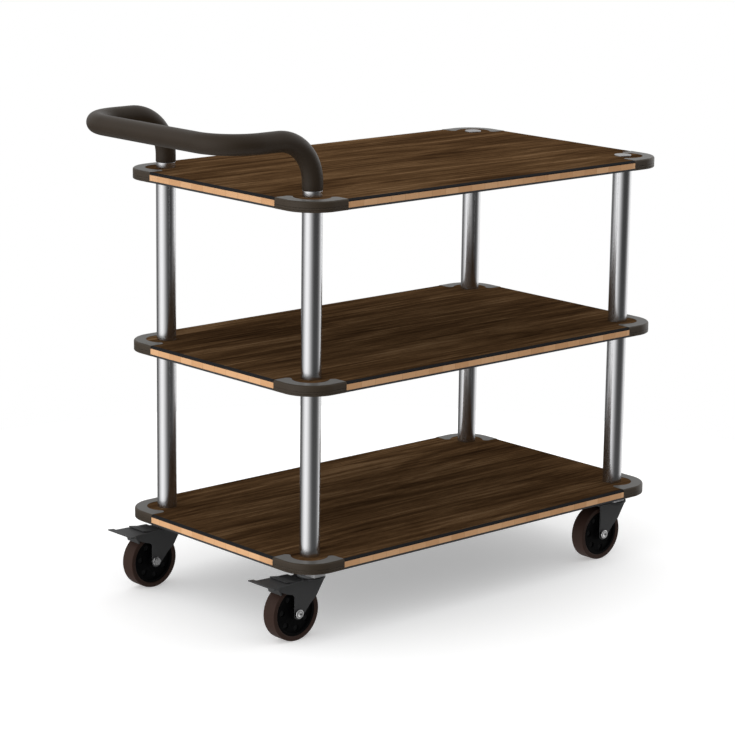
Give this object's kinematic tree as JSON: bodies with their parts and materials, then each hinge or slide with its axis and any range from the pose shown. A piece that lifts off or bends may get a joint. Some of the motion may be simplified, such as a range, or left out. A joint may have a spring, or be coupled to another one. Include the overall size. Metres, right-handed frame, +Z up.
{
  "type": "food service trolley",
  "caption": "Serving trolley with laminated wooden shelves on steel posts, a looped push handle and swivel casters, the rear pair with foot brakes.",
  "frame": {"origin": "on the floor, under the middle of the whole trolley including its handle", "axes": "+X to the front, away from the handle; +Y to the left; +Z up"},
  "size_m": [1.0102, 0.51, 0.8733],
  "materials": {
    "walnut_laminate": "satin, fine grain along the shelf",
    "light_wood_core": "matt, sanded edge",
    "dark_laminate": "matt",
    "guard_plastic": "satin, fine grain",
    "satin_steel": "satin, ground",
    "cap_metal": "satin",
    "hidden_steel": "plain",
    "plug_plastic": "plain",
    "grip_foam": "matt foam",
    "block_metal": "fine blasted",
    "black_fork": "fine textured powder coat",
    "wheel_plastic": "moulded",
    "brown_tyre": "satin",
    "bright_steel": "polished"
  },
  "bodies": {
    "base": {"shelf_core_bottom": "light_wood_core", "shelf_core_middle": "light_wood_core", "shelf_core_top": "light_wood_core", "top_laminate_bottom": "walnut_laminate", "top_laminate_middle": "walnut_laminate", "top_laminate_top": "walnut_laminate", "bottom_laminate_bottom": "dark_laminate", "bottom_laminate_middle": "dark_laminate", "bottom_laminate_top": "dark_laminate", "corner_guard_bottom_rear_right": "guard_plastic", "corner_guard_bottom_rear_left": "guard_plastic", "corner_guard_bottom_front_right": "guard_plastic", "corner_guard_bottom_front_left": "guard_plastic", "corner_guard_middle_rear_right": "guard_plastic", "corner_guard_middle_rear_left": "guard_plastic", "corner_guard_middle_front_right": "guard_plastic", "corner_guard_middle_front_left": "guard_plastic", "corner_guard_top_rear_right": "guard_plastic", "corner_guard_top_rear_left": "guard_plastic", "corner_guard_top_front_right": "guard_plastic", "corner_guard_top_front_left": "guard_plastic", "post_tube_lower_rear_right": "satin_steel", "post_tube_lower_rear_left": "satin_steel", "post_tube_lower_front_right": "satin_steel", "post_tube_lower_front_left": "satin_steel", "post_tube_upper_rear_right": "satin_steel", "post_tube_upper_rear_left": "satin_steel", "post_tube_upper_front_right": "satin_steel", "post_tube_upper_front_left": "satin_steel", "tube_plugs": "plug_plastic", "shelf_studs": "hidden_steel", "king_bolts": "hidden_steel", "post_cap_front_right": "cap_metal", "post_cap_front_left": "cap_metal", "handle_tube": "hidden_steel", "handle_sleeve": "grip_foam", "handle_sockets": "satin_steel", "caster_blocks": "block_metal", "swivel_races": "hidden_steel"},
    "fork_rear_right": {"fork_rear_right": "black_fork", "axle_bolt_rear_right": "bright_steel", "pedal_pin_rear_right": "black_fork"},
    "fork_rear_left": {"fork_rear_left": "black_fork", "axle_bolt_rear_left": "bright_steel", "pedal_pin_rear_left": "black_fork"},
    "fork_front_right": {"fork_front_right": "black_fork", "axle_bolt_front_right": "bright_steel"},
    "fork_front_left": {"fork_front_left": "black_fork", "axle_bolt_front_left": "bright_steel"},
    "wheel_rear_right": {"wheel_centre_rear_right": "wheel_plastic", "tyre_rear_right": "brown_tyre"},
    "wheel_rear_left": {"wheel_centre_rear_left": "wheel_plastic", "tyre_rear_left": "brown_tyre"},
    "wheel_front_right": {"wheel_centre_front_right": "wheel_plastic", "tyre_front_right": "brown_tyre"},
    "wheel_front_left": {"wheel_centre_front_left": "wheel_plastic", "tyre_front_left": "brown_tyre"},
    "pedal_rear_right": {"brake_pedal_rear_right": "black_fork"},
    "pedal_rear_left": {"brake_pedal_rear_left": "black_fork"}
  },
  "joints": [
    {"name": "swivel_rear_right", "type": "hinge", "parent": "base", "child": "fork_rear_right", "pos_m": [-0.30288, -0.197, 0.1055], "axis": [0, 0, 1], "continuous": true},
    {"name": "swivel_rear_left", "type": "hinge", "parent": "base", "child": "fork_rear_left", "pos_m": [-0.30288, 0.197, 0.1055], "axis": [0, 0, 1], "continuous": true},
    {"name": "swivel_front_right", "type": "hinge", "parent": "base", "child": "fork_front_right", "pos_m": [0.44712, -0.197, 0.1055], "axis": [0, 0, 1], "continuous": true},
    {"name": "swivel_front_left", "type": "hinge", "parent": "base", "child": "fork_front_left", "pos_m": [0.44712, 0.197, 0.1055], "axis": [0, 0, 1], "continuous": true},
    {"name": "wheel_spin_rear_right", "type": "hinge", "parent": "fork_rear_right", "child": "wheel_rear_right", "pos_m": [-0.34368, -0.197, 0.05], "axis": [0, 1, 0], "continuous": true},
    {"name": "wheel_spin_rear_left", "type": "hinge", "parent": "fork_rear_left", "child": "wheel_rear_left", "pos_m": [-0.34368, 0.197, 0.05], "axis": [0, 1, 0], "continuous": true},
    {"name": "wheel_spin_front_right", "type": "hinge", "parent": "fork_front_right", "child": "wheel_front_right", "pos_m": [0.40632, -0.197, 0.05], "axis": [0, 1, 0], "continuous": true},
    {"name": "wheel_spin_front_left", "type": "hinge", "parent": "fork_front_left", "child": "wheel_front_left", "pos_m": [0.40632, 0.197, 0.05], "axis": [0, 1, 0], "continuous": true},
    {"name": "brake_rear_right", "type": "hinge", "parent": "fork_rear_right", "child": "pedal_rear_right", "pos_m": [-0.38288, -0.197, 0.1005], "axis": [0, -1, 0], "range_deg": [0, 10]},
    {"name": "brake_rear_left", "type": "hinge", "parent": "fork_rear_left", "child": "pedal_rear_left", "pos_m": [-0.38288, 0.197, 0.1005], "axis": [0, -1, 0], "range_deg": [0, 10]}
  ]
}
